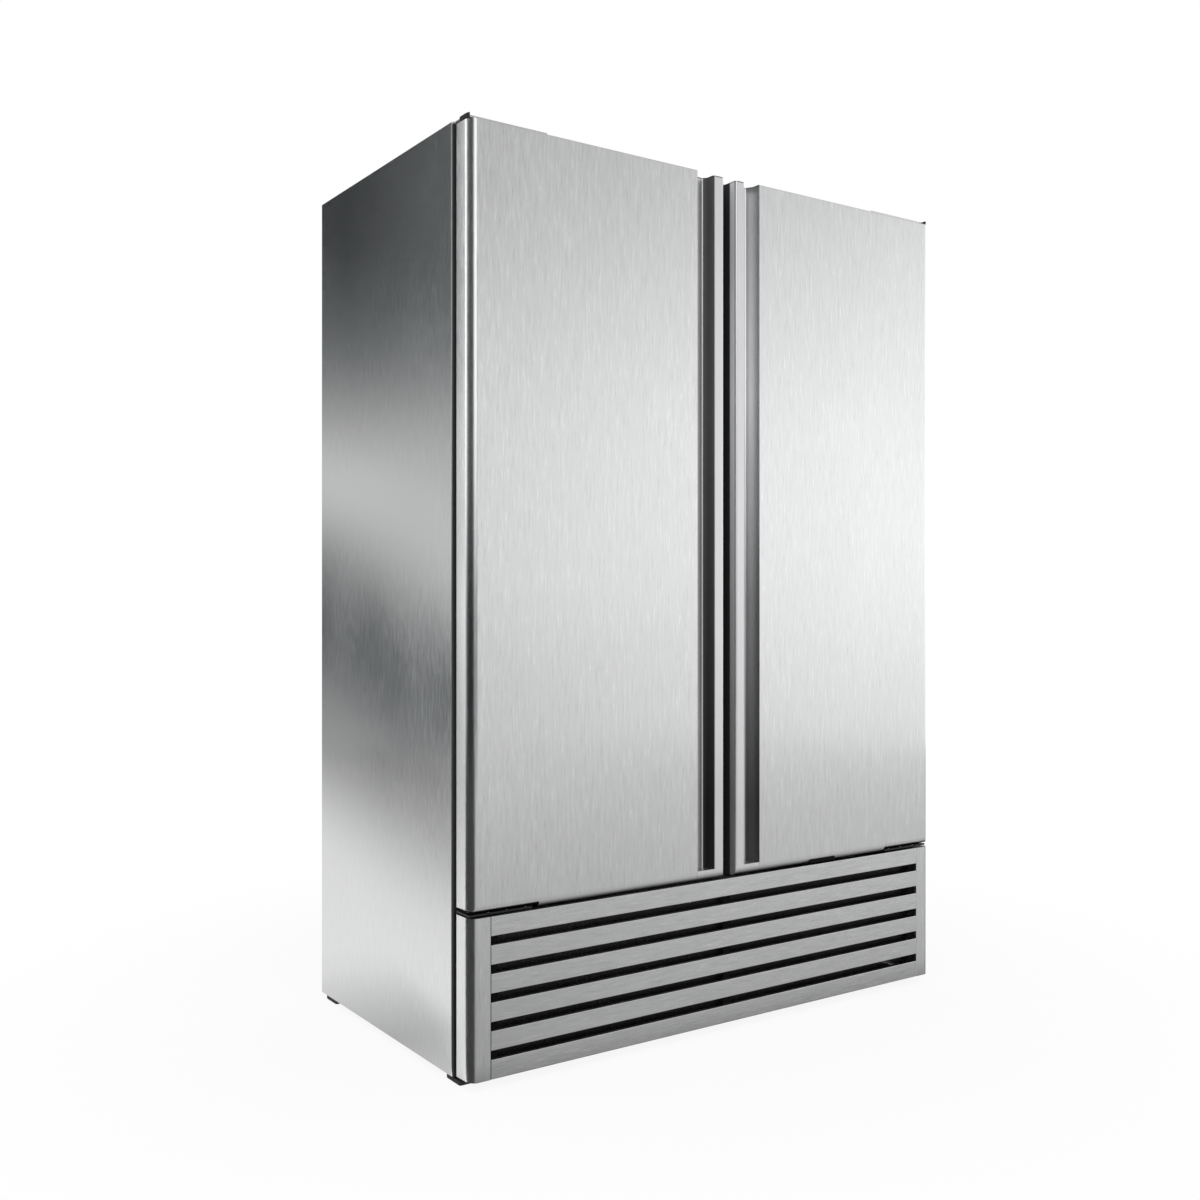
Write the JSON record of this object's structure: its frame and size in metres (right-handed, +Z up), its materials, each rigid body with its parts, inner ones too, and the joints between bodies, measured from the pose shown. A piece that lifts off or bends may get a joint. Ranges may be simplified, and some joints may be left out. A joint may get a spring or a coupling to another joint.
{
  "type": "reach-in refrigerator",
  "caption": "Upright reach-in refrigerator with solid steel doors, full-height recessed pulls, a slatted base grille and barred shelves inside.",
  "frame": {"origin": "on the floor under the middle of the cabinet's outside box", "axes": "+Z up, doors face -Y, +X to the right seen from the front"},
  "size_m": [1.375, 0.778, 2.007],
  "materials": {
    "stainless": "satin",
    "galvanised": "matte",
    "aluminium": "satin",
    "copper": "satin",
    "black_paint": "satin",
    "black_plastic": "matte",
    "rubber": "matte",
    "insulation": "matte",
    "white_plastic": "satin",
    "grey_epoxy": "satin"
  },
  "bodies": {
    "cabinet": {"left_side_panel": "stainless", "right_side_panel": "stainless", "face_frame": "stainless", "grille_panel": "stainless", "left_grille_post": "stainless", "right_grille_post": "stainless", "left_top_hinge": "stainless", "right_top_hinge": "stainless", "top_panel": "galvanised", "back_panel": "galvanised", "base_tray": "galvanised", "rear_service_cover": "galvanised", "condenser_fan_shroud": "galvanised", "control_box": "galvanised", "condenser_coil": "aluminium", "evaporator_coil": "aluminium", "refrigerant_line": "copper", "left_bottom_hinge": "black_paint", "right_bottom_hinge": "black_paint", "compressor": "black_paint", "condenser_fan_motor": "black_paint", "evaporator_fan_motor": "black_paint", "cord_gland": "black_plastic", "left_hinge_cap": "black_plastic", "right_hinge_cap": "black_plastic", "drain_pan": "black_plastic", "cabinet_insulation": "insulation", "interior_light": "white_plastic", "inner_liner": "grey_epoxy", "center_mullion": "grey_epoxy", "evaporator_housing": "grey_epoxy", "left_front_pilaster": "grey_epoxy", "left_rear_pilaster": "grey_epoxy", "right_front_pilaster": "grey_epoxy", "right_rear_pilaster": "grey_epoxy", "center_rear_pilaster": "grey_epoxy", "left_shelf_1": "grey_epoxy", "left_shelf_2": "grey_epoxy", "left_shelf_3": "grey_epoxy", "right_shelf_1": "grey_epoxy", "right_shelf_2": "grey_epoxy", "right_shelf_3": "grey_epoxy"},
    "left_door": {"left_door_skin": "stainless", "left_door_handle": "aluminium", "left_door_insulation": "insulation", "left_door_liner": "white_plastic", "left_door_gasket": "rubber"},
    "right_door": {"right_door_skin": "stainless", "right_door_handle": "aluminium", "right_door_insulation": "insulation", "right_door_liner": "white_plastic", "right_door_gasket": "rubber", "right_door_stop": "black_plastic"},
    "condenser_fan": {"condenser_fan_blade": "black_plastic"},
    "evaporator_fan": {"evaporator_fan_blade": "black_plastic"},
    "thermostat": {"thermostat_knob": "black_plastic"},
    "front_left_foot_body": {"front_left_foot": "black_plastic"},
    "front_right_foot_body": {"front_right_foot": "black_plastic"},
    "rear_left_foot_body": {"rear_left_foot": "black_plastic"},
    "rear_right_foot_body": {"rear_right_foot": "black_plastic"}
  },
  "joints": [
    {"name": "left_door_hinge", "type": "hinge", "parent": "cabinet", "child": "left_door", "pos_m": [-0.6675, -0.355, 0.3651], "axis": [0, 0, -1], "range_deg": [0, 120]},
    {"name": "right_door_hinge", "type": "hinge", "parent": "cabinet", "child": "right_door", "pos_m": [0.6675, -0.355, 0.3651], "axis": [0, 0, 1], "range_deg": [0, 120]},
    {"name": "condenser_fan_spin", "type": "hinge", "parent": "cabinet", "child": "condenser_fan", "pos_m": [-0.33, -0.1912, 0.1613], "axis": [0, 1, 0], "continuous": true},
    {"name": "evaporator_fan_spin", "type": "hinge", "parent": "cabinet", "child": "evaporator_fan", "pos_m": [0, 0.0199, 1.8429], "axis": [0, 1, 0], "continuous": true},
    {"name": "thermostat_turn", "type": "hinge", "parent": "cabinet", "child": "thermostat", "pos_m": [-0.3, -0.0029, 1.8429], "axis": [0, -1, 0], "range_deg": [0, 270]},
    {"name": "front_left_foot_screw", "type": "hinge", "parent": "cabinet", "child": "front_left_foot_body", "pos_m": [-0.6535, -0.3075, 0], "axis": [0, 0, 1], "continuous": true},
    {"name": "front_right_foot_screw", "type": "hinge", "parent": "cabinet", "child": "front_right_foot_body", "pos_m": [0.6535, -0.3075, 0], "axis": [0, 0, 1], "continuous": true},
    {"name": "rear_left_foot_screw", "type": "hinge", "parent": "cabinet", "child": "rear_left_foot_body", "pos_m": [-0.6535, 0.339, 0], "axis": [0, 0, 1], "continuous": true},
    {"name": "rear_right_foot_screw", "type": "hinge", "parent": "cabinet", "child": "rear_right_foot_body", "pos_m": [0.6535, 0.339, 0], "axis": [0, 0, 1], "continuous": true}
  ]
}
